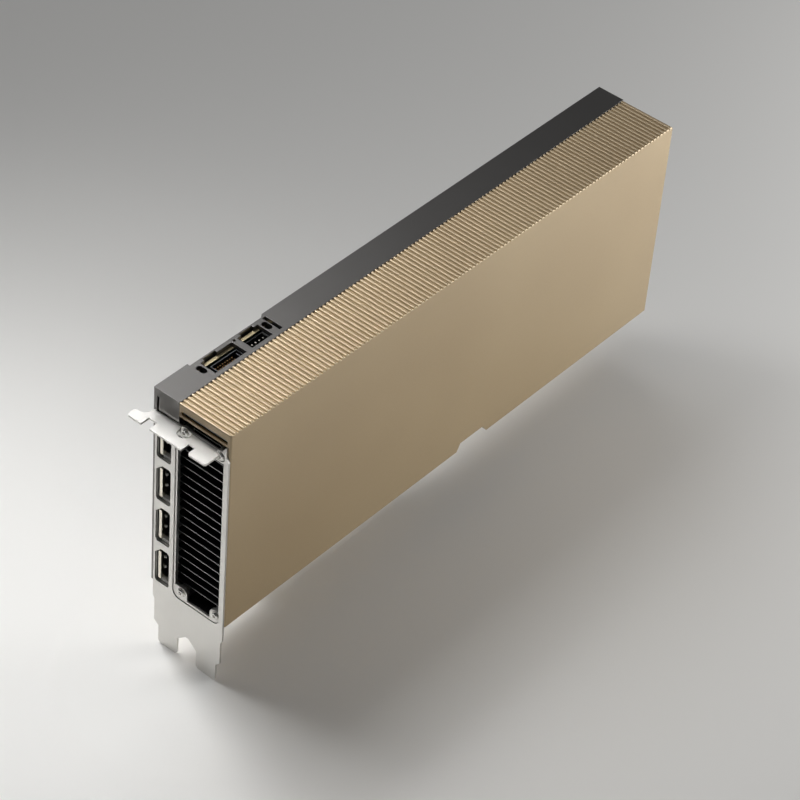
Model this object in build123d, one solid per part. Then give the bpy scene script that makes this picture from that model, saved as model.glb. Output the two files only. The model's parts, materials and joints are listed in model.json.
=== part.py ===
from build123d import *
import math
import os

# A passive accelerator card for a server: a dual-slot expansion card without a fan. Air from the
# server's own fans enters at the far end, passes the fins and leaves by the vent in the bracket.
# Sizes are in millimetres. The origin is the middle of the edge connector's key notch, at the
# connector's lower edge and half way through the board. X runs along the card, away from the
# bracket. Y runs from the cover to the board-side shell. Z is up, as the card stands in its slot.

# The whole card
card_length = 266.7            # outer face of the bracket to the far end
key_from_bracket = 59.05       # outer face of the bracket to the key notch
top_z = 111.15                 # top edge of the card above the connector's lower edge
board_z = 8.25                 # lower edge of the board
cover_z = 12.25                # lower edge of the cover and of the shell
board_thickness = 1.57
cover_depth = 34.32            # outer face of the cover to the board
shell_depth = 2.67             # board to the outer face of the shell
touch = 0.2                    # clearance between pieces that don't press on each other
bore_play = 0.05               # radial clearance of a screw in its own thread
pass_play = 0.25               # radial clearance of a screw that passes through a sheet
small_sides = 10               # small repeated fasteners and their holes are drawn with few sides
hidden_sides = 8               # and those that nobody sees with fewer
cut = 1.0                      # how far a cutting solid reaches past what it cuts

# The bracket
sheet = 0.86                   # plated steel sheet
bracket_height = 120.02        # top of the tab to the tips of the tongues
tab_underside_z = 100.36
tab_reach = 9.0                # the tab stands out this far from the plate
slot_pitch = 20.32
tongue_width = 10.19
tongue_inset = 2.95            # side of the plate to the side of the nearer tongue
tongue_corner = 1.1
plate_inset = 0.15             # the plate's edge lies this far behind the cover's outer face
plate_width = 36.75
waist_inset = 0.9              # the lower part of the plate is narrower by this at each side
waist_z = 5.0
waist_slope = 1.4
shoulder_z = -7.8              # the plate starts to narrow to its tongues
shoulder_drop = 2.1
arch_z = -6.05                 # top of the arch between the tongues
arch_flat = 1.5
bend_radius = 1.0              # outside of the fold between the plate and the tab
tab_start = 3.5                # from the cover's outer face to the near end of the tab
tab_root_end = 37.5            # the tab meets the plate up to here
tab_corner = 0.7
finger_end = 42.7              # the tab's far finger ends here
finger_back = 4.7              # the finger's back edge, out from the plate
finger_sweep = 3.3             # radius of the curve between the finger and the tab's root
sweep_steps = 6
notch_edge = 35.6              # far side of the first screw notch
notch_depth = 4.3
notch_width = 4.3
second_notch_width = 3.0
ear_inset = 1.2
ear_foot = 3.9                 # width of the ear at the fold
ear_tip = 0.4
ear_height = 3.4               # the ear rises this far above the tab

# The vent, its frame and their screws
vent_inset = 2.2               # from the cover's outer face to the near side of the vent
vent_width = 24.4
vent_low = -0.3                # vent's lower edge, from the cover's lower edge
vent_top_gap = 4.11             # from the vent's upper edge to the underside of the tab
vent_corner = 3.4
frame_sheet = 1.0
frame_overlap = 1.3            # the frame reaches this far behind the bracket's plate
frame_near = 0.6               # the frame shows this much inside the vent's near side
frame_far = 1.15               # this much inside its far side
frame_sill = 1.3               # and this much above its lower edge
frame_rise = 0.55              # the lip inside the vent stands forward by this
frame_gap = 0.3                # gap between the lip and the edge of the vent
frame_top = 1.4                # the frame rises this far above the upper screws
pad_side = 3.0                 # pad of a lower screw, from the screw's axis
pad_top = 2.4
screw_near = 4.3               # screw columns, from the cover's outer face
screw_far_inset = 4.5          # far side of the vent to the far screw column
screw_low = 4.0                # lower screws, from the cover's lower edge
screw_above_vent = 3.0         # upper screws, above the vent
seat_rise = 0.31               # the screws' seats stand this far forward of the frame
seat_radius = 2.2
flange_radius = 2.0
flange_height = 0.45
crown_radius = 1.65
head_height = 1.1
head_chamfer = 0.35
head_sides = 20
head_room = 0.45               # clearance round the upper heads in the bracket
room_reach = 1.2               # that clearance reaches this far out from the plate
drive_radius = 0.8
drive_depth = 0.8
shank_radius = 1.2
post_half = 1.9
post_reach = 5.0               # the lower posts run this far under the lowest fin
relief_radius = 2.65           # round hole in the tab over the far upper screw
relief_out = 1.95
relief_shift = 1.5

# The display sockets
port_count = 4
port_middle = 32.3             # from the cover's outer face to the middle of the sockets
port_first = 10.8              # from the cover's lower edge to the middle of the lowest one
port_pitch = 21.6
port_width = 7.4               # opening in the plate
port_height = 18.3
port_chamfer = 3.0
port_corner = 0.9
socket_wall = 0.3
socket_margin = 0.2            # the socket's inside lies this far within the opening
socket_depth = 13.0
tongue_plate = 1.4             # the contact tongue inside a socket
tongue_plate_height = 14.3
tongue_plate_offset = 1.6
tongue_plate_depth = 9.0
tongue_front = 0.5
contact_depth = 2.4
contact_wall = 0.15

# The cover
cover_sheet = 1.2
cover_corner = 0.8             # rounded upright corner beside the bracket
shell_edge = 25.8              # near edge of the shell's top, from the cover's outer face
top_seam = 0.1                 # gap between the cover's top and the shell's
floor_setback = 1.52           # board to the edge of the cover's lower flange
floor_start = 2.0
rib_pitch = 2.165
rib_first = 1.29               # first rib, from the outer face of the bracket
rib_chord = 1.75
rib_height = 0.7
rib_facets = 4                 # flat strips in the curve of one rib
rib_slope = 0.35               # the ribs' near ends slope over this length
end_wall = 1.0
end_wall_drop = 6.6            # the end wall hangs this far below the top
slot_from_top = 4.5
slot_height = 2.2
slot_inset = 1.6
slot_far_inset = 0.9
notch_start = 139.3            # notch in the lower edge, from the bracket
notch_end = 158.4
notch_rise = 3.7
notch_slope_near = 2.0
notch_slope_far = 2.8
cover_screw_shares = (0.15, 0.41, 0.75)
cover_head_radius = 1.7
cover_head_height = 0.7
cover_shank_radius = 0.8
cover_screw_length = 6.0

# The board-side shell
shell_sheet = 1.6
shell_top_sheet = 2.0
shell_end_wall = 1.2
shell_end_drop = 10.3
slit_width = 1.0               # upright slit in the end wall, beside the back wall
slit_from_top = 3.7
step_start = 18.3              # the shell steps in beside the headers, from the bracket
step_end = 58.8
step_in = 1.26
step_slope = 1.8
step_drop = 10.0
step_wall = 0.85

# The headers on the top edge and the openings over them
header_window = (27.8, 35.5)   # sides of both openings, from the cover's outer face
header_notch_depth = 1.2
sync_window = (22.0, 38.9)     # from the bracket
sync_notch = (24.2, 31.0)
stereo_window = (42.0, 53.2)
stereo_notch = (44.0, 51.0)
oval_places = (19.8, 55.2)
oval_length = 4.8
oval_width = 2.8
dot_place = 40.3
dot_radius = 0.7
slot_place = (57.0, 58.7)
header_gap = 1.6               # header tops lie this far below the card's top
header_height = 9.0
header_foot = 2.0
header_near = 27.97            # headers' near side, from the cover's outer face
header_depth = 4.76
header_wall = 0.3
header_floor_drop = 5.6
sync_header = (24.48, 38.48)   # from the bracket
sync_pins = 8
sync_pitch = 1.27
sync_pin_middle = 30.27
sync_row = 30.65               # middle of the two rows of pins, from the cover's outer face
sync_row_gap = 1.3
sync_pin = 0.4
sync_key = (37.0, 37.35)       # upright key in the header's shell, from the bracket
sync_key_depth = 3.6
sync_key_gap = 2.0             # the key ends this far below the card's top
stereo_header = (42.4, 52.9)
stereo_wall = 0.8              # end walls
stereo_pins = 4
stereo_pitch = 1.98
stereo_pin_middle = 48.2
stereo_row = 30.9
stereo_pin = 0.56
pin_top_drop = 2.5
pin_play = 0.02

# The heatsink
fin_start = 3.5                # from the outer face of the bracket
plenum = 14.7                  # from the fins' far ends to the far end of the card
fin_gap = 1.7                  # cover's outer face to the edges of the fins
fin_thickness = 0.35
fin_pitch = 4.31
fin_first = 5.8                # from the cover's lower edge
fin_count = 21
base_thickness = 4.0
base_start = 15.5
base_top_gap = 2.7             # the base ends this far below the cover's top sheet
base_corner = 86.0             # the base is cut away above this height behind the headers
boss_radius = 3.0
small_boss_radius = 2.0
bore_depth = 1.5               # tapped depth in the base

# The board and what is on it
board_start = 2.3
board_end_gap = 2.4
board_top = 2.0                # the board's top edge lies this far below the card's top
package_x = 118.0              # middle of the graphics package, from the bracket
package_z = 50.0
package_side = 50.0
package_thickness = 1.6
die_width = 25.0
die_height = 24.0
die_thickness = 0.8
ring_width = 4.0
ring_thickness = 0.6
memory_width = 12.0
memory_height = 14.0
memory_thickness = 1.1
memory_side = 39.0             # memory stands this far from the package's middle
memory_end = 36.0
memory_pitch = 16.0
coil_size = 7.0
coil_thickness = 2.2
stage_width = 5.0
stage_height = 6.0
stage_thickness = 0.9
capacitor_width = 4.3
capacitor_height = 7.3
capacitor_thickness = 1.9
phase_count = 8
phase_first = 12.0
phase_pitch = 10.5
capacitor_x = 58.0             # places of the supply parts, on from the package's middle
coil_x = 68.0
stage_x = 77.0
phase_bank = 24.0              # second bank of supply parts, on from the first
brace_margin = 4.0             # the brace reaches this far beyond its screws
brace_opening = 20.0
brace_thickness = 0.5
package_screw_half = 29.0
package_shank_radius = 1.0
package_head_radius = 2.4
package_head_height = 0.4
boss_reach = 48.0              # bosses of the back screws, from the package's middle
boss_end_inset = 7.0           # last column of bosses, from the fins' far end
boss_low = 8.0                 # low row, from the cover's lower edge
boss_top_inset = 4.0           # high row, from the top of the heatsink's base
boss_near = 21.0               # bosses beside the display sockets, from the bracket
back_head_radius = 2.5
back_head_height = 1.0
back_socket_radius = 1.1
back_socket_depth = 0.6
finger_pitch = 1.0
finger_width = 0.7
finger_height = 3.8
finger_thickness = 0.06
finger_foot = 0.5
first_finger = 1.5
near_fingers = 11
far_fingers = 71
key_width = 1.9
connector_lead = 0.9           # chamfers of the edge connector
near_tongue = 12.6             # edge connector, from the key notch
far_tongue = 72.6
hook_gap = 3.7                 # edge connector to the latch hook
hook_length = 7.8
hook_stem = 4.6
hook_low = 1.7
hook_high = 4.9

# The far end
end_sheet = 2.0
air_window = (5.0, 24.0)       # from the cover's outer face
air_window_margin = 8.8        # end plate's lower and upper edges to the air window
tapped_radius = 1.25
tapped_near = 8.0              # tapped holes, from the cover's outer face
tapped_spacing = 22.0
tapped_low = 5.5               # from the cover's lower edge
tapped_rise = 87.0
power_middle = 68.0
power_height = 20.0
power_width = 8.7
power_depth = 13.3
power_wall = 0.85
power_cavity = 9.0
power_pitch = 3.0
power_pins = 6
power_pin = 0.8
power_pin_drop = 3.4
signal_pitch = 2.0
signal_pins = 4
signal_pin = 0.4
signal_pin_drop = 4.4

# Thin films
film_thickness = 0.1
film_margin = 2.0
film_top = 84.0
duct_film_thickness = 0.15

# Places that follow from the sizes
bracket_x = -key_from_bracket
end_x = bracket_x + card_length
board_front = -board_thickness / 2
board_back = board_thickness / 2
cover_y = board_front - cover_depth
shell_y = board_back + shell_depth
shell_inner_y = shell_y - shell_sheet
base_back_y = board_front - package_thickness - die_thickness
base_front_y = base_back_y - base_thickness
base_middle_y = (base_front_y + base_back_y) / 2
floor_y = board_front - floor_setback
tab_top_z = tab_underside_z + sheet
tip_z = tab_top_z - bracket_height
plate_near_y = cover_y + plate_inset
plate_far_y = plate_near_y + plate_width
plate_back_x = bracket_x + sheet
frame_back_x = plate_back_x + frame_sheet
fins_x = bracket_x + fin_start
fins_end_x = end_x - plenum
sheet_top_z = top_z - rib_height
roof_z = sheet_top_z - cover_sheet
base_top_z = roof_z - base_top_gap
brace_half = package_screw_half + brace_margin
header_top = top_z - header_gap
header_low = header_top - header_height
header_floor = top_z - header_floor_drop
pin_top = top_z - pin_top_drop


def along(distance):
    """X of a place given by its distance from the outer face of the bracket."""
    return bracket_x + distance


def across(distance):
    """Y of a place given by its distance from the outer face of the cover."""
    return cover_y + distance


def up(distance):
    """Z of a place given by its height above the cover's lower edge."""
    return cover_z + distance


def around(middle, half):
    """The two limits that lie at the same distance from a middle."""
    return (middle - half, middle + half)


def past(limits):
    """Limits that reach a little further at both ends, for a cutting solid."""
    return (limits[0] - cut, limits[1] + cut)


def block(x, y, z):
    """A box between two limits on each axis."""
    middle = Pos((x[0] + x[1]) / 2, (y[0] + y[1]) / 2, (z[0] + z[1]) / 2)
    return middle * Box(abs(x[1] - x[0]), abs(y[1] - y[0]), abs(z[1] - z[0]))


def rod(length, radius, sides):
    """A rod about the origin along Z, round or with a number of sides."""
    if sides:
        return extrude(RegularPolygon(radius, sides), amount=length / 2, both=True)
    return Cylinder(radius, length)


def rod_x(x, y, z, radius, sides=0):
    """A rod along X."""
    return Pos((x[0] + x[1]) / 2, y, z) * Rot(0, 90, 0) * rod(abs(x[1] - x[0]), radius, sides)


def rod_y(x, y, z, radius, sides=0):
    """A rod along Y."""
    return Pos(x, (y[0] + y[1]) / 2, z) * Rot(90, 0, 0) * rod(abs(y[1] - y[0]), radius, sides)


def rod_z(x, y, z, radius, sides=0):
    """A rod along Z."""
    return Pos(x, y, (z[0] + z[1]) / 2) * rod(abs(z[1] - z[0]), radius, sides)


def prism_x(points, x0, x1):
    """A prism along X from an outline of (y, z) points."""
    outline = Polyline(*[(x0, y, z) for y, z in points], close=True)
    return extrude(make_face(outline), amount=x1 - x0, dir=(1, 0, 0))


def prism_y(points, y0, y1):
    """A prism along Y from an outline of (x, z) points."""
    outline = Polyline(*[(x, y0, z) for x, z in points], close=True)
    return extrude(make_face(outline), amount=y1 - y0, dir=(0, 1, 0))


def prism_z(points, z0, z1):
    """A prism along Z from an outline of (x, y) points."""
    outline = Polyline(*[(x, y, z0) for x, y in points], close=True)
    return extrude(make_face(outline), amount=z1 - z0, dir=(0, 0, 1))


def round_edges(solid, axis, radius):
    """Round the edges of a block that run along one axis."""
    return fillet(solid.edges().filter_by(axis), radius)


def save(name, *solids):
    """Write one node. Like pieces share a node as separate solids."""
    shape = solids[0] if len(solids) == 1 else Compound(children=list(solids))
    export_step(shape, f"parts/{name}.step")


# Places of what repeats
vent_far_y = across(vent_inset + vent_width)
vent_top_z = tab_underside_z - vent_top_gap
screw_columns = (across(screw_near), vent_far_y - screw_far_inset)
screw_rows = (up(screw_low), vent_top_z + screw_above_vent)
screw_places = [(y, z) for z in screw_rows for y in screw_columns]
port_y = across(port_middle)
port_heights = [up(port_first + port_pitch * i) for i in range(port_count)]
package_middle = (along(package_x), up(package_z))
package_screw_places = [(package_middle[0] + x, package_middle[1] + z)
                        for x in (-package_screw_half, package_screw_half)
                        for z in (-package_screw_half, package_screw_half)]
boss_columns = (package_middle[0] - boss_reach, package_middle[0] + boss_reach,
                fins_end_x - boss_end_inset)
boss_places = [(x, z) for x in boss_columns for z in (up(boss_low), base_top_z - boss_top_inset)]
boss_places += [(along(boss_near), up(port_first + port_pitch * (i + 0.5))) for i in (0, 2)]
cover_screw_places = [along(card_length * share) for share in cover_screw_shares]


def make_plate_outline():
    """The bracket's flat outline: shoulders, two tongues with an arch between, and the ear."""
    near = plate_near_y
    far = plate_far_y
    low_near = near + waist_inset
    low_far = far - waist_inset
    foot_z = shoulder_z - shoulder_drop
    fold_z = tab_underside_z - bend_radius
    tongues = [near + tongue_inset, near + tongue_inset + slot_pitch]
    middle = (tongues[0] + tongue_width + tongues[1]) / 2
    ear_near = near + ear_inset
    ear_top = tab_top_z + ear_height
    feet = []
    for start in tongues:
        feet.append([
            (start, foot_z), (start, tip_z + tongue_corner), (start + tongue_corner, tip_z),
            (start + tongue_width - tongue_corner, tip_z),
            (start + tongue_width, tip_z + tongue_corner), (start + tongue_width, foot_z),
        ])
    arch = [(middle - arch_flat / 2, arch_z), (middle + arch_flat / 2, arch_z)]
    return [
        (near, tab_underside_z - 2 * ear_inset), (near, waist_z), (low_near, waist_z - waist_slope),
        (low_near, shoulder_z), *feet[0], *arch, *feet[1], (low_far, shoulder_z),
        (low_far, waist_z - waist_slope), (far, waist_z), (far, fold_z),
        (ear_near + ear_foot, fold_z), (ear_near + ear_tip, ear_top), (ear_near, ear_top),
        (ear_near, tab_underside_z),
    ]


def make_tab():
    """The tab at the bracket's top: folded strip, two screw notches and a long finger."""
    out_x = bracket_x - tab_reach
    fold_z = tab_underside_z - bend_radius
    strip = prism_y([
        (plate_back_x, fold_z), (plate_back_x, tab_top_z), (out_x, tab_top_z),
        (out_x, tab_underside_z), (bracket_x, tab_underside_z), (bracket_x, fold_z),
    ], across(tab_start), across(finger_end))
    corner = strip.edges().filter_by(Axis.Y).group_by(Axis.Z)[-1].sort_by(Axis.X)[-1]
    strip = fillet(corner, bend_radius)

    back_x = bracket_x - finger_back
    deep_x = out_x + notch_depth
    edge = across(notch_edge)
    tip = across(finger_end)
    second = edge - slot_pitch
    far_side = second - second_notch_width
    outline = [
        (plate_back_x, across(tab_start)), (out_x + tab_corner, across(tab_start)),
        (out_x, across(tab_start) + tab_corner), (out_x, far_side - tab_corner),
        (out_x + tab_corner, far_side), (deep_x, far_side), (deep_x, second), (out_x, second),
        (out_x, edge - notch_width), (deep_x, edge - notch_width), (deep_x, edge), (out_x, edge),
        (out_x, tip - tab_corner), (out_x + tab_corner, tip), (back_x - tab_corner, tip),
        (back_x, tip - tab_corner),
    ]
    turn = across(tab_root_end)
    for step in range(sweep_steps + 1):
        angle = math.pi / 2 * step / sweep_steps
        outline.append((back_x + finger_sweep * (1 - math.cos(angle)),
                        turn + finger_sweep * (1 - math.sin(angle))))
    outline.append((plate_back_x, turn))
    return strip & prism_z(outline, fold_z - cut, tab_top_z + cut)


def make_bracket():
    """The folded bracket with its vent, its display sockets' openings and its screws' reliefs."""
    through = past((bracket_x, plate_back_x))
    bracket = prism_x(make_plate_outline(), bracket_x, plate_back_x) + make_tab()
    vent = block(through, (across(vent_inset), vent_far_y), (up(vent_low), vent_top_z))
    upright = vent.edges().filter_by(Axis.X)
    bracket -= fillet(upright.group_by(Axis.Z)[0], vent_corner)
    for middle_z in port_heights:
        bracket -= port_prism(middle_z, 0, *through)
    for y, z in screw_places[2:]:
        bracket -= rod_x((bracket_x - room_reach, through[1]), y, z, flange_radius + head_room)
    above = (tab_underside_z - cut, tab_top_z + cut)
    sight = rod_z(bracket_x - relief_out, screw_columns[1] - relief_shift, above, relief_radius)
    ahead = block((bracket_x - tab_reach, bracket_x), (across(tab_start), across(tab_root_end)), above)
    return bracket - (sight & ahead)


def make_vent_frame():
    """The frame behind the vent: a raised lip inside the vent and a seat for each screw."""
    y = (across(cover_sheet + touch), vent_far_y + frame_overlap)
    z = (up(vent_low) - frame_overlap / 4, screw_rows[1] + frame_top)
    front_x = plate_back_x - frame_rise
    seat_x = plate_back_x - seat_rise
    lip = block((front_x, plate_back_x), (across(vent_inset + frame_gap), vent_far_y - frame_gap),
                (up(vent_low) + frame_gap, vent_top_z))
    lip = fillet(lip.edges().filter_by(Axis.X).group_by(Axis.Z)[0], vent_corner - frame_gap)
    outer = block((plate_back_x, frame_back_x), y, z) + lip
    near_y = across(vent_inset + frame_near)
    far_y = vent_far_y - frame_far
    low_z = up(vent_low) + frame_sill
    opening = block(past((front_x, frame_back_x)), (near_y, far_y), (low_z, vent_top_z + frame_near))
    pads = [(near_y - cut, screw_columns[0] + pad_side), (screw_columns[1] - pad_side, far_y + cut)]
    for limits, inner in zip(pads, (-1, 0)):
        pad = block(past((front_x - cut, frame_back_x)), limits, (low_z - cut, screw_rows[0] + pad_top))
        corner = pad.edges().filter_by(Axis.X).group_by(Axis.Z)[-1].sort_by(Axis.Y)[inner]
        opening -= fillet(corner, pad_top)
    frame = outer - opening
    for screw_y, screw_z in screw_places[:2]:
        frame -= rod_x((front_x - cut, seat_x), screw_y, screw_z, seat_radius, head_sides)
    for screw_y, screw_z in screw_places[2:]:
        frame += rod_x((seat_x, plate_back_x), screw_y, screw_z, seat_radius, head_sides)
    for screw_y, screw_z in screw_places:
        frame -= rod_x(past((front_x, frame_back_x)), screw_y, screw_z, shank_radius + bore_play,
                       small_sides)
    return frame


def make_vent_post(y, z):
    """A post behind the vent frame that one of its screws goes into."""
    lower = z == screw_rows[0]
    end = along(fin_start + post_reach) if lower else along(fin_start) - bore_play
    bottom = up(cover_sheet + touch) if lower else z - post_half
    top = up(fin_first) - fin_thickness / 2 - touch if lower else z + post_half - 2 * touch
    post = block((frame_back_x, end), around(y, post_half), (bottom, top))
    hole = rod_x((frame_back_x - cut, fins_x), y, z, shank_radius + bore_play, small_sides)
    return post - hole


def make_bracket_screw(y, z):
    """A round-headed screw with a flange and a drive socket, seated on the vent frame."""
    seat = plate_back_x - seat_rise
    crown = rod_x((seat - head_height, seat), y, z, crown_radius, head_sides)
    head = chamfer(crown.faces().sort_by(Axis.X)[0].edges(), head_chamfer)
    head += rod_x((seat - flange_height, seat), y, z, flange_radius, head_sides)
    shank = rod_x((seat, fins_x - touch), y, z, shank_radius, small_sides)
    drive = rod_x((seat - head_height - cut, seat - head_height + drive_depth), y, z, drive_radius, 6)
    return head + shank - drive


def port_prism(middle_z, grow, x0, x1):
    """A prism along X with a display socket's D-like outline, grown by a margin."""
    half_y = port_width / 2 + grow
    half_z = port_height / 2 + grow
    slant = port_chamfer + grow * (2 - math.sqrt(2))
    outline = [
        (-half_y + port_corner, -half_z), (half_y - port_corner, -half_z),
        (half_y, -half_z + port_corner), (half_y, half_z - slant), (half_y - slant, half_z),
        (-half_y + port_corner, half_z), (-half_y, half_z - port_corner),
        (-half_y, -half_z + port_corner),
    ]
    return prism_x([(port_y + y, middle_z + z) for y, z in outline], x0, x1)


def make_socket_shell(middle_z):
    """The folded metal shell of one display socket."""
    x1 = along(sheet + socket_depth)
    outer = port_prism(middle_z, socket_wall - socket_margin, plate_back_x, x1)
    return outer - port_prism(middle_z, -socket_margin, plate_back_x - cut, x1 + cut)


def tongue_block(middle_z, x, inset):
    """A block in the place of a socket's tongue, set in by a margin on its four sides."""
    y = port_y + tongue_plate_offset
    return block(x, around(y, tongue_plate / 2 - inset),
                 around(middle_z, tongue_plate_height / 2 - inset))


def make_socket_core(middle_z):
    """The insulator of one display socket: a block at the back and a tongue for the contacts."""
    back = port_prism(middle_z, -socket_margin, along(tongue_plate_depth), along(sheet + socket_depth))
    x = (along(tongue_front) + 2 * contact_wall, along(tongue_plate_depth) + cut)
    return back + tongue_block(middle_z, x, contact_wall)


def make_socket_contacts(middle_z):
    """The contacts round the front of one display socket's tongue, as one folded strip."""
    x = (along(tongue_front), along(tongue_front + contact_depth))
    strip = tongue_block(middle_z, x, 0)
    return strip - tongue_block(middle_z, (x[0] + 2 * contact_wall, x[1] + cut), contact_wall)


def rib_outline():
    """The (x, z) outline of the ribbed top: a flat sheet with a row of round ribs on it."""
    count = int((card_length - rib_first - rib_chord / 2) / rib_pitch) + 1
    radius = (rib_chord ** 2 / 4 + rib_height ** 2) / (2 * rib_height)
    sweep = math.asin(rib_chord / 2 / radius)
    points = [(plate_back_x, roof_z), (plate_back_x, sheet_top_z)]
    for i in range(count):
        middle = along(rib_first + rib_pitch * i)
        for step in range(rib_facets + 1):
            angle = sweep * (2 * step / rib_facets - 1)
            x = middle + radius * math.sin(angle)
            if x > plate_back_x:
                points.append((x, top_z - radius * (1 - math.cos(angle))))
    return points + [(end_x, sheet_top_z), (end_x, roof_z)]


def make_cover():
    """The cover: face, ribbed top, slotted end wall and notched floor in one folded shell."""
    edge = across(shell_edge - top_seam)
    top = prism_y(rib_outline(), cover_y, edge)
    slope = rib_slope / rib_height
    roof = prism_x([
        (cover_y, roof_z), (cover_y, sheet_top_z), (cover_y + slope * (rib_height + cut), top_z + cut),
        (edge + cut, top_z + cut), (edge + cut, roof_z),
    ], plate_back_x - cut, end_x + cut)
    face = block((plate_back_x, end_x), (cover_y, across(cover_sheet)), (cover_z, sheet_top_z))
    floor = block((along(floor_start), end_x), (cover_y, floor_y), (cover_z, up(cover_sheet)))
    wall_x = (plate_back_x, plate_back_x + end_wall)
    wall = block(wall_x, (cover_y, edge), (top_z - end_wall_drop, sheet_top_z))
    slot_half = slot_height / 2
    slot = block(past(wall_x), (across(slot_inset), edge - slot_far_inset),
                 around(top_z - slot_from_top, slot_half))
    cover = (top & roof) + face + floor + wall - round_edges(slot, Axis.X, slot_half * 0.98)
    cover -= prism_y([
        (along(notch_start), cover_z - cut), (along(notch_start), cover_z),
        (along(notch_start + notch_slope_near), up(notch_rise)),
        (along(notch_end - notch_slope_far), up(notch_rise)),
        (along(notch_end), cover_z), (along(notch_end), cover_z - cut),
    ], cover_y - cut, floor_y + cut)
    turn = (plate_back_x + cover_corner, cover_y + cover_corner)
    corner = block((plate_back_x - cut, turn[0]), (cover_y - cut, turn[1]), past((cover_z, top_z)))
    cover -= corner - rod_z(*turn, past((cover_z, top_z)), cover_corner)
    for x in cover_screw_places:
        cover -= rod_z(x, base_middle_y, past((cover_z, up(cover_sheet))),
                       cover_shank_radius + 2 * bore_play, hidden_sides)
    return cover


def make_cover_screw(x):
    """A small screw up through the cover's floor into the heatsink's base."""
    head = rod_z(x, base_middle_y, (cover_z - cover_head_height, cover_z), cover_head_radius,
                 small_sides)
    shank = rod_z(x, base_middle_y, (cover_z, up(cover_screw_length)), cover_shank_radius, hidden_sides)
    return head + shank


def make_shell_cuts():
    """What is cut from the top of the shell: the header openings and the small holes by them."""
    z = (top_z - 2 * shell_top_sheet, top_z + cut)
    near, far = across(header_window[0]), across(header_window[1])
    cuts = []
    for window, notch in ((sync_window, sync_notch), (stereo_window, stereo_notch)):
        cuts.append(block((along(window[0]), along(window[1])), (near, far), z))
        cuts.append(block((along(notch[0]), along(notch[1])), (near, far + header_notch_depth), z))
    for place in oval_places:
        oval = extrude(SlotOverall(oval_length, oval_width, rotation=90), amount=z[1] - z[0])
        cuts.append(Pos(along(place), (near + far) / 2 + cut, z[0]) * oval)
    cuts.append(rod_z(along(dot_place), far, z, dot_radius, small_sides))
    cuts.append(block((along(slot_place[0]), along(slot_place[1])), (near, far + header_notch_depth), z))
    return cuts


def make_shell():
    """The board-side shell: back wall, top, two end rims and the step beside the headers."""
    x = (plate_back_x, end_x)
    wall_x = (plate_back_x, plate_back_x + shell_end_wall)
    edge = across(shell_edge)
    shell = block(x, (edge, shell_y), (top_z - shell_top_sheet, top_z))
    shell += block(x, (shell_inner_y, shell_y), (cover_z, top_z))
    shell += block(wall_x, (plate_far_y, shell_y), (cover_z, top_z))
    shell += block(wall_x, (edge, shell_y), (top_z - shell_end_drop, top_z))
    margin = step_wall * 2
    shell += block((along(step_start) - margin, along(step_end) + margin),
                   (shell_y - step_in - step_wall, shell_inner_y + touch),
                   (top_z - step_drop - margin, top_z - touch))
    shell -= prism_z([
        (along(step_start), shell_y - step_in), (along(step_end - step_slope), shell_y - step_in),
        (along(step_end), shell_y), (along(step_end), shell_y + cut), (along(step_start), shell_y + cut),
    ], top_z - step_drop, top_z + cut)
    for piece in make_shell_cuts():
        shell -= piece
    slit_y = shell_inner_y - slit_width / 2
    shell -= block(past(wall_x), around(slit_y, slit_width / 2),
                   (top_z - shell_end_drop - cut, top_z - slit_from_top))
    for hole_x, hole_z in boss_places:
        shell -= rod_y(hole_x, past((shell_inner_y, shell_y)), hole_z, shank_radius + pass_play,
                       small_sides)
        shell -= rod_y(hole_x, (shell_y - back_head_height, shell_y + cut), hole_z,
                       back_head_radius + pass_play, small_sides)
    return shell


def make_back_screw(x, z):
    """A flat-headed screw through the shell and the board into the heatsink's boss."""
    seat = shell_y - back_head_height
    head = rod_y(x, (seat, shell_y), z, back_head_radius, small_sides)
    shank = rod_y(x, (base_back_y - cut, seat), z, shank_radius, hidden_sides)
    drive = rod_y(x, (shell_y - back_socket_depth, shell_y + cut), z, back_socket_radius, 6)
    return head + shank - drive


def make_fin(index):
    """One flat fin that runs along the card and stands on the heatsink's base."""
    z = around(up(fin_first + fin_pitch * index), fin_thickness / 2)
    return block((fins_x, fins_end_x), (across(fin_gap), base_front_y), z)


def make_base():
    """The heatsink's base, with a boss for each screw that comes through the board."""
    y = (base_front_y, base_back_y)
    base = block((along(base_start), fins_end_x), y, (up(cover_sheet), base_top_z))
    base -= block(past((along(base_start), along(step_end))), past(y), (up(base_corner), base_top_z + cut))
    base -= block((along(notch_start) - cut, along(notch_end) + cut), past(y),
                  (cover_z, up(notch_rise) + cut))
    fasteners = [(place, boss_radius, shank_radius) for place in boss_places]
    fasteners += [(place, small_boss_radius, package_shank_radius) for place in package_screw_places]
    for (x, z), radius, shank in fasteners:
        base += rod_y(x, (base_back_y - cut, board_front), z, radius, hidden_sides)
        base -= rod_y(x, (base_back_y - bore_depth, board_front + cut), z, shank + bore_play,
                      hidden_sides)
    for x in cover_screw_places:
        base -= rod_z(x, base_middle_y, (cover_z, up(cover_screw_length) + touch),
                      cover_shank_radius + bore_play, hidden_sides)
    return base


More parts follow.
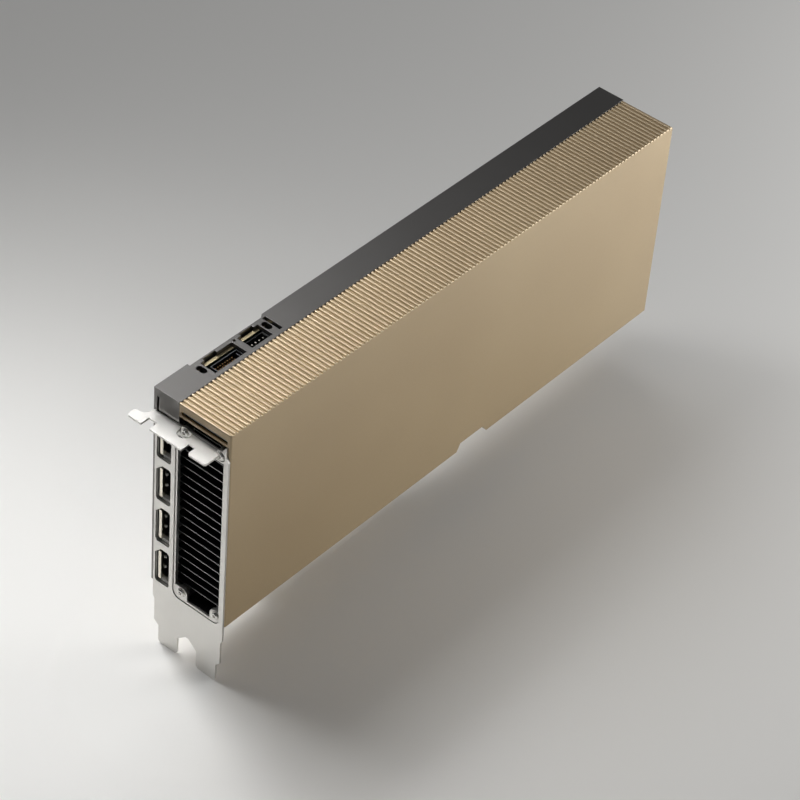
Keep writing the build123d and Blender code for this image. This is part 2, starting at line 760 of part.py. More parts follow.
def make_board():
    """The circuit board: edge connector, key notch, latch hook and cut-outs for the sockets."""
    near = along(board_start)
    thick = (board_front, board_back)
    board = block((near, end_x - board_end_gap), thick, (board_z, top_z - board_top))
    lead = connector_lead
    key = key_width / 2
    inside = board_z + cut
    board += prism_y([
        (-near_tongue, inside), (-near_tongue, lead), (-near_tongue + lead, 0),
        (-key - lead / 2, 0), (-key, lead / 2), (-key, board_z - cut), (key, board_z - cut),
        (key, lead / 2), (key + lead / 2, 0), (far_tongue - lead, 0), (far_tongue, lead),
        (far_tongue, inside),
    ], *thick)
    hook = far_tongue + hook_gap
    toe = hook + hook_length
    board += prism_y([
        (hook, inside), (hook, hook_low + lead), (hook + lead, hook_low), (toe - lead, hook_low),
        (toe, hook_low + lead), (toe, hook_high), (hook + hook_stem, hook_high + lead / 2),
        (hook + hook_stem, inside),
    ], *thick)
    half = port_height / 2 + socket_wall + socket_margin
    for middle_z in port_heights:
        board -= block((near - cut, along(sheet + socket_depth) + touch), past(thick),
                       around(middle_z, half))
    for x, z in boss_places:
        board -= rod_y(x, past(thick), z, shank_radius + pass_play, hidden_sides)
    for x, z in package_screw_places:
        board -= rod_y(x, past(thick), z, package_shank_radius + pass_play, hidden_sides)
    return board


def make_contacts():
    """The contact pads on both faces of the edge connector, on both sides of the key notch."""
    places = [-first_finger - finger_pitch * i for i in range(near_fingers)]
    places += [first_finger + finger_pitch * i for i in range(far_fingers)]
    faces = ((board_front - finger_thickness, board_front), (board_back, board_back + finger_thickness))
    z = (finger_foot, finger_foot + finger_height)
    return [block(around(x, finger_width / 2), y, z) for x in places for y in faces]


sync_x = (along(sync_header[0]), along(sync_header[1]))
sync_inner_x = (sync_x[0] + header_wall, sync_x[1] - header_wall)
stereo_x = (along(stereo_header[0]), along(stereo_header[1]))
header_y = (across(header_near), across(header_near + header_depth))
header_inner_y = (header_y[0] + header_wall, header_y[1] - header_wall)
sync_pin_places = [(along(sync_pin_middle + sync_pitch * (i - (sync_pins - 1) / 2)), y)
                   for i in range(sync_pins) for y in around(across(sync_row), sync_row_gap / 2)]
stereo_pin_places = [(along(stereo_pin_middle + stereo_pitch * (i - (stereo_pins - 1) / 2)),
                      across(stereo_row)) for i in range(stereo_pins)]


def make_sync_shell():
    """Metal shell of the sixteen-pin header, with an upright key near its far end."""
    shell = block(sync_x, header_y, (header_low, header_top))
    shell -= block(sync_inner_x, header_inner_y, past((header_low, header_top)))
    key_x = (along(sync_key[0]), along(sync_key[1]))
    return shell + block(key_x, (header_y[0] + header_wall / 2, header_y[0] + sync_key_depth),
                         (header_floor, top_z - sync_key_gap))


def pin(x, y, half, top):
    """A square header pin."""
    return block(around(x, half), around(y, half), (header_low - header_foot / 2, top))


def make_sync_core():
    """Insulator of the sixteen-pin header, with a foot that rests on the board."""
    core = block(sync_inner_x, header_inner_y, (header_low, header_floor))
    core += block(sync_inner_x, (header_inner_y[0], board_front), (header_low - header_foot, header_low))
    for pin_x, pin_y in sync_pin_places:
        core -= pin(pin_x, pin_y, sync_pin / 2 + pin_play, header_top)
    return core


def make_stereo_housing():
    """Plastic housing of the four-pin header, with a foot that rests on the board."""
    housing = block(stereo_x, header_y, (header_low, header_top))
    housing -= block((stereo_x[0] + stereo_wall, stereo_x[1] - stereo_wall), header_inner_y,
                     (header_floor, header_top + cut))
    housing += block(stereo_x, (header_y[0], board_front), (header_low - header_foot, header_low))
    for pin_x, pin_y in stereo_pin_places:
        housing -= pin(pin_x, pin_y, stereo_pin / 2 + pin_play, header_top)
    return housing


power_y = (board_front - power_width, board_front)
power_z = around(up(power_middle), power_height / 2)
power_rows = [power_y[0] + power_wall + share * (power_width - 2 * power_wall) for share in (0.25, 0.68)]
power_pin_places = [(y, up(power_middle) + power_pitch * (i - (power_pins - 1) / 2))
                    for i in range(power_pins) for y in power_rows]
signal_pin_places = [(power_y[1] - 2 * power_wall, up(power_middle) + signal_pitch * (i - 1.5))
                     for i in range(signal_pins)]


def power_pin_set(grow, x0, power_x1, signal_x1):
    """Every pin of the power socket, or the holes for them when grown by a clearance."""
    pins = []
    for y, z in power_pin_places:
        pins.append(block((x0, power_x1), around(y, power_pin / 2 + grow), around(z, power_pin / 2 + grow)))
    for y, z in signal_pin_places:
        pins.append(block((x0, signal_x1), around(y, signal_pin / 2 + grow),
                          around(z, signal_pin / 2 + grow)))
    return pins


def make_power_housing():
    """The plastic power socket, open towards the far end."""
    floor_x = end_x - power_cavity
    housing = block((end_x - power_depth, end_x), power_y, power_z)
    housing -= block((floor_x, end_x + cut), (power_y[0] + power_wall, power_y[1] - power_wall),
                     (power_z[0] + power_wall, power_z[1] - power_wall))
    for hole in power_pin_set(bore_play, end_x - power_depth - cut, floor_x + cut, floor_x + cut):
        housing -= hole
    return housing


def make_end_plate():
    """The far-end plate: air window, window for the power socket and four tapped holes."""
    x = (end_x - end_sheet, end_x)
    z = (up(cover_sheet), top_z - shell_top_sheet)
    plate = block(x, (across(cover_sheet), shell_inner_y), z)
    plate -= block(past(x), (across(air_window[0]), across(air_window[1])),
                   (z[0] + air_window_margin, z[1] - air_window_margin))
    plate -= block(past(x), (power_y[0] - touch, power_y[1] + touch),
                   (power_z[0] - touch, power_z[1] + touch))
    for y in (across(tapped_near), across(tapped_near + tapped_spacing)):
        for hole_z in (up(tapped_low), up(tapped_low + tapped_rise)):
            plate -= rod_x(past(x), y, hole_z, tapped_radius)
    return plate


def on_board(x, z, width, height, thickness, lift=0):
    """A flat component on the board's component side, by its middle, size and lift."""
    y = (board_front - lift - thickness, board_front - lift)
    return block(around(x, width / 2), y, around(z, height / 2))


def make_memory(thickness, lift):
    """One flat block over every memory place."""
    x, z = package_middle
    blocks = []
    for side in (-memory_side, memory_side):
        for i in range(4):
            blocks.append(on_board(x + side, z + memory_pitch * (i - 1.5), memory_width, memory_height,
                                   thickness, lift))
    for side in (-memory_width, memory_width):
        for end in (-memory_end, memory_end):
            blocks.append(on_board(x + side, z + end, memory_height, memory_width, thickness, lift))
    return blocks


def make_phase_row(distance, width, height, thickness):
    """Two banks of like supply parts, from the lower edge of the board to its upper edge."""
    places = [(bank, up(phase_first + phase_pitch * i)) for bank in (0, phase_bank)
              for i in range(phase_count)]
    return [on_board(package_middle[0] + distance + bank, z, width, height, thickness)
            for bank, z in places]


def make_ring():
    """The stiffening ring round the graphics die."""
    x, z = package_middle
    opening = package_side - 2 * ring_width
    ring = on_board(x, z, package_side, package_side, ring_thickness, package_thickness)
    return ring - on_board(x, z, opening, opening, package_thickness, package_thickness - ring_thickness)


def make_brace():
    """The thin steel brace behind the graphics package."""
    x, z = package_middle
    y = (board_back, board_back + brace_thickness)
    brace = block(around(x, brace_half), y, around(z, brace_half))
    brace -= block(around(x, brace_opening), past(y), around(z, brace_opening))
    for hole_x, hole_z in package_screw_places:
        brace -= rod_y(hole_x, past(y), hole_z, package_shank_radius + pass_play, hidden_sides)
    return brace


def make_package_screw(x, z):
    """A screw through the brace and the board into the heatsink's base."""
    seat = board_back + brace_thickness
    head = rod_y(x, (seat, seat + package_head_height), z, package_head_radius, hidden_sides)
    return head + rod_y(x, (base_back_y - cut, seat), z, package_shank_radius, hidden_sides)


def make_film():
    """The insulating film on the inside of the shell."""
    y = (shell_inner_y - film_thickness, shell_inner_y)
    film = block((along(step_start) - film_margin, end_x - end_sheet - film_margin), y,
                 (up(film_margin), up(film_top)))
    for x, z in boss_places:
        film -= rod_y(x, past(y), z, shank_radius + 2 * pass_play, hidden_sides)
    return film


def make_duct_film():
    """The dark film on the floor of the air duct, in two lengths with the notch between."""
    y = (across(cover_sheet), base_front_y)
    z = (up(cover_sheet), up(cover_sheet) + duct_film_thickness)
    front = block((along(floor_start), along(notch_start) - cut), y, z)
    front += block((plate_back_x + duct_film_thickness, along(floor_start) + cut),
                   (screw_columns[0] + pad_side + touch, screw_columns[1] - pad_side - touch), z)
    return [front, block((along(notch_end) + cut, fins_end_x), y, z)]


def main():
    os.makedirs("parts", exist_ok=True)
    save("front_cover", make_cover())
    save("cover_screws", *[make_cover_screw(x) for x in cover_screw_places])
    save("board_side_shell", make_shell())
    save("back_screws", *[make_back_screw(x, z) for x, z in boss_places])
    save("insulating_film", make_film())
    save("io_bracket", make_bracket())
    save("vent_frame", make_vent_frame())
    save("vent_posts", *[make_vent_post(y, z) for y, z in screw_places])
    save("bracket_screws", *[make_bracket_screw(y, z) for y, z in screw_places])
    for number, middle_z in enumerate(port_heights, start=1):
        save(f"display_socket_shell_{number}", make_socket_shell(middle_z))
        save(f"display_socket_core_{number}", make_socket_core(middle_z))
    save("display_socket_contacts", *[make_socket_contacts(z) for z in port_heights])
    save("sync_header_shell", make_sync_shell())
    save("sync_header_core", make_sync_core())
    save("sync_header_pins", *[pin(x, y, sync_pin / 2, pin_top) for x, y in sync_pin_places])
    save("stereo_header_housing", make_stereo_housing())
    save("stereo_header_pins", *[pin(x, y, stereo_pin / 2, pin_top) for x, y in stereo_pin_places])
    save("fin_stack", *[make_fin(i) for i in range(fin_count)])
    save("heatsink_base", make_base())
    save("duct_film", *make_duct_film())
    save("circuit_board", make_board())
    save("edge_contacts", *make_contacts())
    x, z = package_middle
    save("graphics_substrate", on_board(x, z, package_side, package_side, package_thickness))
    save("graphics_die", on_board(x, z, die_width, die_height, die_thickness, package_thickness))
    save("package_ring", make_ring())
    save("package_brace", make_brace())
    save("package_screws", *[make_package_screw(x, z) for x, z in package_screw_places])
    pad = package_thickness + die_thickness - memory_thickness
    save("memory_chips", *make_memory(memory_thickness, 0))
    save("thermal_pads", *make_memory(pad, memory_thickness))
    save("capacitors", *make_phase_row(capacitor_x, capacitor_width, capacitor_height,
                                       capacitor_thickness))
    save("power_coils", *make_phase_row(coil_x, coil_size, coil_size, coil_thickness))
    save("power_stages", *make_phase_row(stage_x, stage_width, stage_height, stage_thickness))
    save("end_plate", make_end_plate())
    save("power_socket_housing", make_power_housing())
    save("power_socket_pins", *power_pin_set(0, end_x - power_depth, end_x - power_pin_drop,
                                             end_x - signal_pin_drop))


main()
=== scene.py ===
# %% [markdown]
# # Dressing a passive accelerator card
# The card comes from the CAD as a fixed frame of named nodes, in metres. This lesson gives it
# its finishes, adds the small forms that the solids leave out, and lights it for a picture.
# Nothing that the CAD made is moved: each node only gets a better material.

import json
import math

import bpy
import numpy as np
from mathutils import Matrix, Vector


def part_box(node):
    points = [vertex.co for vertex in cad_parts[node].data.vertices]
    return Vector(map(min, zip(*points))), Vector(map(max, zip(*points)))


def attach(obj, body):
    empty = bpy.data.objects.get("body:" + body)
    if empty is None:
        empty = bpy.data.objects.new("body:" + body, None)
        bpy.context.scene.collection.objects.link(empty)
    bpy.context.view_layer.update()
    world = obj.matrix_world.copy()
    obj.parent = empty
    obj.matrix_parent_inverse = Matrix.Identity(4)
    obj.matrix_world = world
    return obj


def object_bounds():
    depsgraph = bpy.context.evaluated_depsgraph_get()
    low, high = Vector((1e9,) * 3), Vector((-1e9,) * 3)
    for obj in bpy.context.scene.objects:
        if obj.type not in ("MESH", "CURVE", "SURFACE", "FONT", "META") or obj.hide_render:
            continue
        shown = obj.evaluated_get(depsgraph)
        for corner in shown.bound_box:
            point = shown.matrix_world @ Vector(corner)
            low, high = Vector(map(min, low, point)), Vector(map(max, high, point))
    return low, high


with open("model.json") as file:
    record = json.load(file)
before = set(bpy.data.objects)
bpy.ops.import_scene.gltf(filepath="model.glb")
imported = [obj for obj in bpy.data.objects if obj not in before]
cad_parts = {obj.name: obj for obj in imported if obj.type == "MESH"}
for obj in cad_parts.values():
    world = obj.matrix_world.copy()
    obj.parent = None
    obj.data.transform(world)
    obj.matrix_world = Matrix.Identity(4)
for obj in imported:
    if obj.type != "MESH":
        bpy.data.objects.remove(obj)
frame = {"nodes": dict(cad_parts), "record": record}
cad_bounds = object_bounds()
nodes = frame["nodes"]
slot_of = {part["node"]: part["material_slot"] for part in frame["record"]["subparts"]}
MM = 0.001
print("nodes:", len(nodes), "slots:", len(set(slot_of.values())))
print("CAD box:", [[round(v, 4) for v in corner] for corner in cad_bounds])

# %% [markdown]
# ## Helpers for materials
# A colour is easiest to choose as a screen value, but a shader works in linear light, so one
# function turns the one into the other. Every material here is a node tree, and one helper adds
# a node, sets its values and links its sockets. The others each add the few nodes that most
# recipes need: a noise pattern, a range, a mix of two colours, a shallow bump.

# %% Helpers for colours and nodes


def linear(hex_colour):
    """Screen colour to linear: c / 12.92 below 0.04045, else ((c + 0.055) / 1.055) ** 2.4."""
    channels = [int(hex_colour[i:i + 2], 16) / 255 for i in (1, 3, 5)]
    return [c / 12.92 if c <= 0.04045 else ((c + 0.055) / 1.055) ** 2.4 for c in channels] + [1.0]


def add(tree, kind, links=None, **settings):
    """Add one node. Links feed its sockets, by number or name; settings are its own options."""
    made = tree.nodes.new("ShaderNode" + kind)
    for name, value in settings.items():
        setattr(made, name, value)
    for socket, value in (links or {}).items():
        if isinstance(value, bpy.types.NodeSocket):
            tree.links.new(value, made.inputs[socket])
        else:
            made.inputs[socket].default_value = value
    return made


def start(name, metallic=0.0, **sockets):
    """A new material. Constants go to the shader's sockets, with _ for each space in a name."""
    material = bpy.data.materials.new(name)
    material.use_nodes = True
    tree = material.node_tree
    shader = tree.nodes["Principled BSDF"]
    shader.inputs["Metallic"].default_value = metallic
    for socket, value in sockets.items():
        shader.inputs[socket.replace("_", " ")].default_value = value
    return material, tree, shader


def grain(tree, size_mm, stretch=(1, 1, 1), detail=3.0):
    """Noise in object space. Its features are about size_mm across, times stretch on each axis."""
    place = add(tree, "TexCoord").outputs["Object"]
    scale = [1 / (size_mm * MM * s) for s in stretch]
    mapped = add(tree, "Mapping", {"Vector": place, "Scale": scale})
    noise = add(tree, "TexNoise", {"Vector": mapped.outputs[0], "Scale": 1.0, "Detail": detail})
    return noise.outputs["Fac"]


def spread(tree, value, low, high):
    """Map a noise value to low..high. Noise seldom leaves 0.3..0.7, so that is the input range."""
    mapped = add(tree, "MapRange", {0: value, 1: 0.3, 2: 0.7, 3: low, 4: high})
    return mapped.outputs[0]


def mix(tree, value, first, second):
    """Mix two linear colours, or two colour sockets, by a value between 0 and 1."""
    mixed = add(tree, "Mix", {0: value, 6: first, 7: second}, data_type="RGBA")
    return mixed.outputs[2]


def blend(tree, value, first, second):
    """Mix two screen colours by a value between 0 and 1."""
    return mix(tree, value, linear(first), linear(second))


def faces_along(tree, axis):
    """1 where a face looks along the axis, either way, and 0 elsewhere."""
    facing = add(tree, "SeparateXYZ", {0: add(tree, "NewGeometry").outputs["True Normal"]})
    size = add(tree, "Math", {0: facing.outputs[axis]}, operation="ABSOLUTE")
    return add(tree, "Math", {0: size.outputs[0], 1: 0.5}, operation="GREATER_THAN").outputs[0]


def relief(tree, shader, height, depth_mm, edge_mm=0.0):
    """Bump from a height value, over edges that look rounded by edge_mm."""
    links = {"Height": height, "Distance": depth_mm * MM}
    if edge_mm:
        soft = add(tree, "Bevel", {"Radius": edge_mm * MM}, samples=4)
        links["Normal"] = soft.outputs[0]
    bump = add(tree, "Bump", links)
    tree.links.new(bump.outputs[0], shader.inputs["Normal"])


print("gold as linear light:", [round(c, 3) for c in linear("#B69D73")[:3]])

# %% [markdown]
# ## Finishes
# The cover is aluminium sheet, anodised champagne gold: a dyed oxide skin, sealed clear. It is
# satin: it shows soft gradients of the studio and no sharp picture, and where a lamp is mirrored
# the clear skin pales the gold. Its index of refraction is that of the oxide, 1.76. The shell has
# a smooth dark coat, and the bracket is plated steel whose rolling marks run along it. Each recipe
# keeps the same order: broad variation of colour, fine variation of gloss, then a very shallow
# bump.

# %% Metal and coating recipes


def satin_gold(name, edge_mm=0.25, depth_mm=0.004, rough=0.42):
    """Dyed oxide on aluminium: about half metal, half pigment, under a clear sealed skin."""
    material, tree, shader = start(name, metallic=0.55, Coat_Weight=1.0, Coat_IOR=1.76)
    broad = grain(tree, 60, detail=1.0)
    fine = grain(tree, 0.35, detail=2.0)
    tree.links.new(blend(tree, spread(tree, broad, 0.0, 1.0), "#B69D73", "#BEA67C"),
                   shader.inputs["Base Color"])
    tree.links.new(spread(tree, fine, rough, rough + 0.1), shader.inputs["Roughness"])
    tree.links.new(spread(tree, fine, rough - 0.14, rough - 0.06), shader.inputs["Coat Roughness"])
    relief(tree, shader, fine, depth_mm, edge_mm=edge_mm)
    return material


def dark_coat(name, dark="#7A7876", light="#83817F"):
    """Smooth dark grey coat: an even satin film with a faint orange-peel surface."""
    material, tree, shader = start(name, metallic=0.85)
    broad = grain(tree, 25, detail=2.0)
    fine = grain(tree, 0.5, detail=2.0)
    tree.links.new(blend(tree, broad, dark, light), shader.inputs["Base Color"])
    tree.links.new(spread(tree, fine, 0.285, 0.315), shader.inputs["Roughness"])
    relief(tree, shader, fine, 0.0012, edge_mm=0.2)
    return material


def plated_steel(name, dark="#D6D4D0", light="#E3E1DD", along_z=True, edge_mm=0.12):
    """Nickel on rolled sheet: long faint rolling marks along Z or X, and gloss that drifts."""
    material, tree, shader = start(name, metallic=1.0)
    stretch = (1, 1, 40) if along_z else (40, 1, 1)
    lines = grain(tree, 0.25, stretch)
    broad = grain(tree, 12, detail=2.0)
    tree.links.new(blend(tree, broad, dark, light), shader.inputs["Base Color"])
    marks, drift = spread(tree, lines, 0.0, 0.08), spread(tree, broad, 0.3, 0.4)
    gloss = add(tree, "Math", {0: marks, 1: drift}, operation="ADD")
    tree.links.new(gloss.outputs[0], shader.inputs["Roughness"])
    relief(tree, shader, lines, 0.002, edge_mm=edge_mm)
    return material


def bare_aluminium(name, colour="#4A4A4C", mark_colour_and_shade="#3A3A3C", cut="#A2A3A5"):
    """Aluminium with faint marks along the card. Faces that look along X take the third colour, a
    painted lit front edge; the other faces take the darker pair, which on the fins and base is
    painted shade between the fins.
    """
    material, tree, shader = start(name, metallic=0.9)
    lines = grain(tree, 0.2, (60, 1, 1))
    # The darker pair is painted shade on the fins and base; the X-facing faces get a painted lit
    # edge colour
    skin = blend(tree, lines, mark_colour_and_shade, colour)
    tree.links.new(mix(tree, faces_along(tree, "X"), skin, linear(cut)),
                   shader.inputs["Base Color"])
    tree.links.new(spread(tree, lines, 0.4, 0.52), shader.inputs["Roughness"])
    relief(tree, shader, lines, 0.002)
    return material


def small_metal(name, dark, light, rough=0.25, metallic=1.0):
    """Plating on a small part: two close colours and a fine change of gloss."""
    material, tree, shader = start(name, metallic=metallic)
    fine = grain(tree, 0.6)
    tree.links.new(blend(tree, fine, dark, light), shader.inputs["Base Color"])
    tree.links.new(spread(tree, fine, rough - 0.05, rough + 0.08), shader.inputs["Roughness"])
    relief(tree, shader, fine, 0.002, edge_mm=0.06)
    return material


# %% [markdown]
# Moulded parts, films and the board are not metal. Nylon has a spark-eroded skin, so its gloss
# breaks up at a tenth of a millimetre. The board is green only on its two faces: where it was
# cut, the bare glass laminate shows its tan layers, so the recipe asks which way a face looks.

# %% Plastic, film and laminate recipes


def moulded(name, dark="#121213", light="#1B1B1C", rough=0.5, size_mm=0.15):
    """Moulded plastic or resin: a fine matt skin."""
    material, tree, shader = start(name, IOR=1.5)
    skin = grain(tree, size_mm)
    tree.links.new(blend(tree, skin, dark, light), shader.inputs["Base Color"])
    tree.links.new(spread(tree, skin, rough - 0.06, rough + 0.06), shader.inputs["Roughness"])
    relief(tree, shader, skin, 0.004, edge_mm=0.08)
    return material


def glossy_film(name):
    """Polyester film: glossy, with slow waves where it isn't held flat."""
    material, tree, shader = start(name, IOR=1.6)
    waves = grain(tree, 9, detail=1.0)
    tree.links.new(blend(tree, waves, "#0C0C0D", "#151516"), shader.inputs["Base Color"])
    tree.links.new(spread(tree, waves, 0.14, 0.24), shader.inputs["Roughness"])
    relief(tree, shader, waves, 0.05)
    return material


def laminate(name):
    """Board: solder mask on the faces that look along Y, tan glass layers on the cut edges."""
    material, tree, shader = start(name, IOR=1.5)
    layers = grain(tree, 0.12, (20, 1, 20))
    cloth = grain(tree, 0.8)
    edge = blend(tree, layers, "#CDB98C", "#E8D8B0")
    mask = blend(tree, cloth, "#12251A", "#18301F")
    tree.links.new(mix(tree, faces_along(tree, "Y"), edge, mask), shader.inputs["Base Color"])
    tree.links.new(spread(tree, cloth, 0.32, 0.45), shader.inputs["Roughness"])
    relief(tree, shader, cloth, 0.003)
    return material


# %% [markdown]
# ## Dress the nodes
# The record names a slot for every node. One table joins each slot to a recipe, and each node's
# own material slot is given the result. The mesh itself stays as the CAD made it. The wide header
# differs from its slot's other nodes, since its shell is given a darker nickel as painted shade and
# its pins are tan.

# %% Give each node its finish
finishes = {
    "cover_paint": satin_gold("champagne_gold_finish"),
    "shell_coat": dark_coat("dark_satin_coat"),
    "end_metal": dark_coat("dark_coat_end", "#3C3B3A", "#444342"),
    "bracket_plate": plated_steel("nickel_plated_bracket"),
    "vent_plate": plated_steel("nickel_plated_frame", "#CFCDC9", "#DEDCD8"),
    "screw_plate": small_metal("nickel_plated_screw", "#D6D4D0", "#E6E4E0", 0.22),
    "black_screw": small_metal("black_oxide_steel", "#1A1A1B", "#242426", 0.4),
    # Fins and base: their dark faces are painted shade between the fins, and their front edges a
    # painted lit grey
    "fin_metal": bare_aluminium("fin_aluminium_painted_shade"),
    "base_metal": bare_aluminium("base_aluminium_painted_shade", "#58595B", "#48494B", "#8E9092"),
    "board_laminate": laminate("masked_glass_laminate"),
    "contact_gold": small_metal("hard_gold_plate", "#C99A3E", "#DDB257", 0.25),
    "socket_metal": plated_steel("nickel_socket_shell", "#AFADA9", "#C6C4C0", False, 0.05),
    "black_nylon": moulded("black_moulded_nylon"),
    "pin_tin": small_metal("bright_pin_plate", "#D9D3C4", "#F0EBDE", 0.2),
    "substrate_laminate": moulded("package_laminate", "#22352A", "#2A4033", 0.45),
    "die_silicon": glossy_film("polished_silicon"),
    "ring_metal": bare_aluminium("stamped_ring", "#9FA0A3", "#8D8E91", "#9FA0A3"),
    "chip_resin": moulded("chip_resin", "#1A1A1C", "#222225", 0.55),
    "pad_silicone": moulded("soft_thermal_pad", "#84878A", "#95989B", 0.7, 0.6),
    "coil_ferrite": moulded("pressed_ferrite", "#3E3E40", "#505053", 0.6, 0.3),
    "capacitor_resin": moulded("capacitor_resin", "#242322", "#2F2D2B", 0.5),
    "brace_steel": plated_steel("stamped_brace", "#9B9C9D", "#ABACAD", False),
    "film_black": glossy_film("black_polyester_film"),
}
own_finish = {
    # The header's shell is darker than the other socket shells: painted shade
    "sync_header_shell": plated_steel("nickel_shell_painted_shade", "#55575A", "#66686B", False, 0.05),
    "sync_header_pins": small_metal("tan_pin_plate", "#8E6C46", "#AA865C", 0.3),
}
for node_name, node in nodes.items():
    finish = own_finish.get(node_name, finishes[slot_of[node_name]])
    if not node.material_slots:
        node.data.materials.append(finish)
    for slot in node.material_slots:
        slot.material = finish
print("finishes:", len(finishes), "dressed nodes:", len(nodes))

# %% [markdown]
# ## The ribbed top edge
# The cover's top edge is rolled into 123 small round ribs, 2.165 mm apart and 0.7 mm high, whose
# near ends turn over into the gold face. In the CAD each rib is four flat strips, which keeps the
# solid light. Here one surface lies over all of them and gives them their roundness. It could be a
# bevel on the CAD's own mesh, but that mesh stays as it is, and a bevel would also soften the foot
# of each rib, which on the real edge is a sharp dark line. So the surface is a grid: columns across
# the ribs, cut at equal angles of the arc, and rows along them, closer together at the nose.

# %% One helper for surfaces


def grid_piece(name, x, y, z, material):
    """One piece from three equal arrays in mm, laid out as (patch, row, column).

    Each face joins four neighbours of a patch's grid. Where X grows by column and Y grows by
    row, it looks along +Z.
    """
    patches, rows, columns = x.shape
    points = np.stack([x, y, z], axis=-1).reshape(-1, 3) * MM
    index = np.arange(patches * rows * columns).reshape(patches, rows, columns)
    ring = (index[:, :-1, :-1], index[:, :-1, 1:], index[:, 1:, 1:], index[:, 1:, :-1])
    mesh = bpy.data.meshes.new(name)
    mesh.from_pydata(points.tolist(), [], np.stack(ring, axis=-1).reshape(-1, 4).tolist())
    mesh.shade_smooth()
    mesh.set_sharp_from_angle(angle=math.radians(35))
    mesh.materials.append(material)
    piece = bpy.data.objects.new(name, mesh)
    bpy.context.collection.objects.link(piece)
    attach(piece, "root")
    print(name, "faces:", len(mesh.polygons))


# %% Columns and rows of the rib skin
cover_low, cover_high = [[c / MM for c in corner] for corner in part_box("front_cover")]
bracket_sheet, seam_depth = 0.86, 25.7
bracket_face, seam_y = cover_low[0] - bracket_sheet, cover_low[1] + seam_depth
rib_count, rib_pitch, rib_height, rib_half = 123, 2.165, 0.70, 0.895
first_rib, first_column = 1.29, 0.05
nose, corner, skin_lift = 0.35, 0.8, 0.01
radius = (rib_half ** 2 + rib_height ** 2) / (2 * rib_height)
sweep = math.asin(rib_half / radius)
middles = bracket_face + first_rib + rib_pitch * np.arange(rib_count)
columns = (middles[:, None] + radius * np.sin(np.linspace(-sweep, sweep, 11))).ravel()
columns = columns[columns > cover_low[0] + first_column]
columns = np.concatenate([cover_low[:1], columns, cover_high[:1]])
turn = nose * (1 - np.cos(np.linspace(0, math.pi / 2, 8)))
rows = np.concatenate([cover_low[1] + turn, [cover_low[1] + corner, seam_y, seam_y]])
print("columns:", len(columns), "rows:", len(rows), "arc radius:", round(radius, 3), "mm")

# %% [markdown]
# The height over a rib's foot is the lower of two curves: an arc of a circle across the rib, and a
# quarter ellipse along its nose. Beside the bracket the cover's upright corner is rounded, so there
# the columns are drawn in to that corner's circle. The last row drops straight to the foot, which
# closes the ribs at the seam with the shell.

# %% Rib skin
x, y = np.meshgrid(columns, rows)
inset = np.clip(cover_low[1] + corner - y, 0, corner)
near_edge = cover_low[0] + corner - np.sqrt(corner ** 2 - inset ** 2)
reach = cover_low[0] + 2 * corner
drawn_in = reach - (reach - x) * (reach - near_edge) / (reach - cover_low[0])
x = np.where(x < reach, drawn_in, x)
rib = np.clip(np.rint((x - middles[0]) / rib_pitch), 0, rib_count - 1).astype(int)
off_middle = np.clip(np.abs(x - middles[rib]), 0, rib_half)
arc = np.sqrt(radius ** 2 - off_middle ** 2) - (radius - rib_height)
along_nose = np.clip((y - cover_low[1]) / nose, 0, 1)
rounded = rib_height * np.sqrt(1 - (1 - along_nose) ** 2)
foot_z = cover_high[2] - rib_height
z = foot_z + skin_lift + np.minimum(arc, rounded)
z[-1] = foot_z
rib_gold = satin_gold("champagne_gold_ribs", edge_mm=0, depth_mm=0.0008, rough=0.5)
grid_piece("rib_skin", x[None], y[None], z[None], rib_gold)

# %% [markdown]
# ## Small forms in the display sockets
# Two sprung pads show bright on each socket's tongue, and a low ribbed ledge stands on the floor
# of its metal shell. Both get a near-white, barely metallic plating, so their brightness deep in
# the socket is a painted highlight. Both are too small to be solids. A pad is a pillow whose height
# follows (1 - u^4)(1 - v^4), flat in the middle and falling to its rim. The ledge is a bent strip,
# a front and a top, whose front has a cosine across it for its ribs.

# %% Sprung pads
first_port, port_pitch, port_count = 10.8, 21.6, 4
pad_depth, pad_reach, pad_half, pad_height = 2.9, 0.45, 0.5, 0.65
pads_from_middle = np.array([3.05, -2.25])
port_z = cover_low[2] + first_port + port_pitch * np.arange(port_count)
pad_z = (port_z[:, None] + pads_from_middle).ravel()[:, None, None]
tongue_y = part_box("display_socket_contacts")[0][1] / MM
# Near white and barely metallic, so pads and ledges stay bright deep in the socket: painted
# highlight
plating_with_painted_highlight = small_metal("plating_painted_highlight", "#F0EEEA", "#FAF8F4", 0.4, metallic=0.1)
u, v = np.meshgrid(np.linspace(-1, 1, 8), np.linspace(-1, 1, 8))
pillow = pad_height * (1 - u ** 4) * (1 - v ** 4)
grid_piece("socket_pads", bracket_face + pad_depth + pad_reach * u + 0 * pad_z,
           tongue_y - pillow + 0 * pad_z, pad_z + pad_half * v, plating_with_painted_highlight)

# %% Ribbed ledges
ledge_near, ledge_far, ledge_columns = 29.9, 33.8, 53
wave_pitch, wave_depth, middle_to_floor = 0.6, 0.06, 8.94
# Each row of the profile: depth behind the bracket's face, height over the floor, ribbed or not
profile = np.array([(1.5, 0.0, 1), (1.5, 1.15, 1), (1.56, 1.2, 0), (3.2, 1.2, 0)])
y, depth = np.meshgrid(np.linspace(ledge_far, ledge_near, ledge_columns), profile[:, 0])
height, ribbed = profile[:, 1][:, None], profile[:, 2][:, None]
depth = depth - wave_depth * ribbed * (1 + np.cos(2 * math.pi * y / wave_pitch))
floor_height = (port_z - middle_to_floor)[:, None, None]
grid_piece("socket_ledges", bracket_face + depth + 0 * floor_height,
           cover_low[1] + y + 0 * floor_height, floor_height + height + 0 * y, plating_with_painted_highlight)

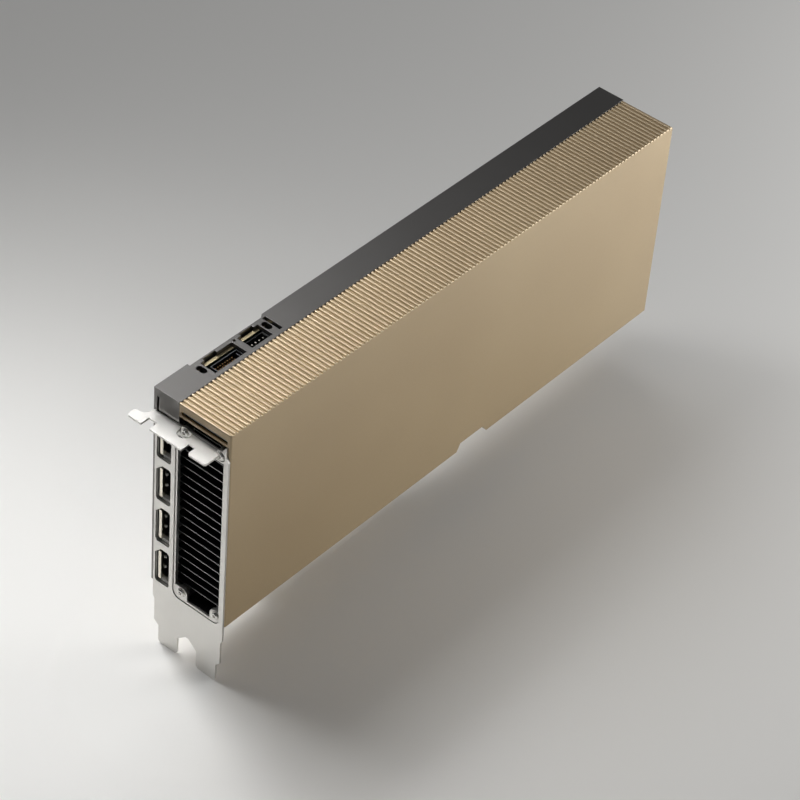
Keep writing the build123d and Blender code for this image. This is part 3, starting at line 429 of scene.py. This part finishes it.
# %% [markdown]
# ## Floor, light and camera
# The card is shown as it stands in its slot, above a plain pale floor. A large soft lamp behind
# the top edge gives the shell its grey sheen beside the bracket, and a small one lights the tab
# from above. The bracket's plate mirrors the floor behind and left of it, so a narrow lamp lights
# just that patch. A low panel on the right lifts the far end of the gold face.

# %% Floor
floor_gap, half_floor = 0.3 * MM, 6.0
floor_z = cad_bounds[0][2] - floor_gap
turns = [(-1, -1), (1, -1), (1, 1), (-1, 1)]
floor_mesh = bpy.data.meshes.new("floor")
floor_mesh.from_pydata([(half_floor * x, half_floor * y, floor_z) for x, y in turns], [],
                       [(0, 1, 2, 3)])
floor = bpy.data.objects.new("floor", floor_mesh)
bpy.context.collection.objects.link(floor)
paper, tree, shader = start("pale_floor", Roughness=0.75)
shader.inputs["Base Color"].default_value = linear("#EFEEEB")
floor_mesh.materials.append(paper)
print("floor at", round(floor_z / MM, 2), "mm")

# %% Lamps and world


def lamp(name, place, aim, size, power, beam=180):
    """A soft lamp at a place, turned to look at a point. A grid narrows its beam, in degrees."""
    data = bpy.data.lights.new(name, "AREA")
    data.shape = "RECTANGLE"
    data.size, data.size_y = size
    data.energy = power
    data.spread = math.radians(beam)
    made = bpy.data.objects.new(name, data)
    bpy.context.collection.objects.link(made)
    made.location = place
    direction = Vector(aim) - Vector(place)
    made.rotation_euler = direction.to_track_quat("-Z", "Y").to_euler()


# Each lamp: place and aim in metres, size in metres, power in watts
lamp("top_back_softbox", (0.215, 0.60, 1.0), (0.05, 0.0, 0.1), (0.93, 0.70), 2.35)
lamp("bracket_softbox", (-0.06, 0.30, 0.55), (-0.06, 0.0, 0.11), (0.25, 0.35), 0.30, beam=70)
lamp("floor_pool", (0.05, 0.45, 0.70), (-0.11, 0.08, -0.019), (0.20, 0.20), 0.14, beam=32)
lamp("right_panel", (0.62, -0.42, 0.14), (0.18, -0.03, 0.08), (0.50, 0.25), 3.7)
world_strength = 0.125
world = bpy.data.worlds.new("studio")
world.use_nodes = True
background = world.node_tree.nodes["Background"]
background.inputs["Color"].default_value = linear("#C9CACC")
background.inputs["Strength"].default_value = world_strength
bpy.context.scene.world = world

# %% [markdown]
# The camera stands where the photograph was taken from. Its place, turn and lens were worked out
# from the card's own standard sizes.

# %% Camera
camera_place_mm = (-657.4, -566.8, 844.6)
camera_turn_degrees = (48.307, -3.730, -49.335)
camera_data = bpy.data.cameras.new("camera")
camera_data.sensor_width = 36.0
camera_data.lens = 135.86
camera = bpy.data.objects.new("camera", camera_data)
bpy.context.collection.objects.link(camera)
camera.location = [v * MM for v in camera_place_mm]
camera.rotation_euler = [math.radians(angle) for angle in camera_turn_degrees]
bpy.context.scene.camera = camera
bpy.context.scene.view_settings.view_transform = "Standard"
print("camera", [round(v, 3) for v in camera.location], "lens", camera_data.lens)
